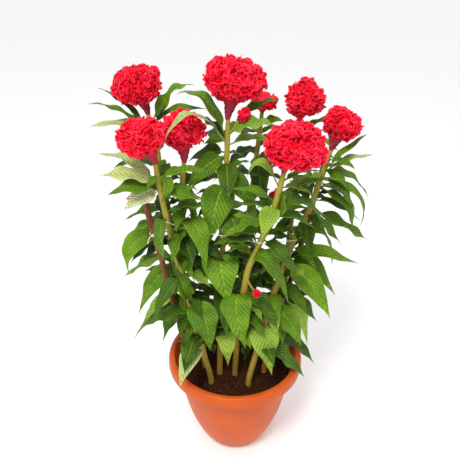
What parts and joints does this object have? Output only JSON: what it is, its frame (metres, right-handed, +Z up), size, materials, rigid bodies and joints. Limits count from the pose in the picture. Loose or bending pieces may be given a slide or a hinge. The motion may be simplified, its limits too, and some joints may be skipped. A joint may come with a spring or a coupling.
{
  "type": "potted cockscomb celosia plant",
  "caption": "Flowering cockscomb celosia with crested red heads on leafy stems, staked and tied in a round plastic pot of soil.",
  "frame": {"origin": "centre of the pot's flat underside", "axes": "+Z up along the plant, -Y towards the front side that carries the most open leaves, +X to the right of that side"},
  "size_m": [0.5248, 0.3471, 0.821],
  "materials": {
    "pot_plastic": "satin moulded terracotta-coloured plastic",
    "soil": "loose dark brown fibrous potting mix",
    "leaf": "soft satin green leaf and ribbed yellow-green stem",
    "petal": "velvety crested bright red bloom",
    "stake_wood": "brown weathered wood",
    "string": "thin pale twisted string"
  },
  "bodies": {
    "root": {"pot": "pot_plastic", "soil": "soil", "stem_1": "leaf", "stem_2": "leaf", "stem_3": "leaf", "stem_4": "leaf", "stem_5": "leaf", "stem_6": "leaf", "stem_7": "leaf", "stem_8": "leaf", "bloom_1": "petal", "bloom_2": "petal", "bloom_3": "petal", "bloom_4": "petal", "bloom_5": "petal", "bloom_6": "petal", "bloom_7": "petal", "bloom_8": "petal", "side_bloom_1": "petal", "side_bloom_2": "petal", "side_bloom_3": "petal", "side_bloom_4": "petal", "stake_left": "stake_wood", "stake_right": "stake_wood", "stake_back": "stake_wood", "stake_back_left": "stake_wood", "tie_string": "string"}
  },
  "joints": []
}
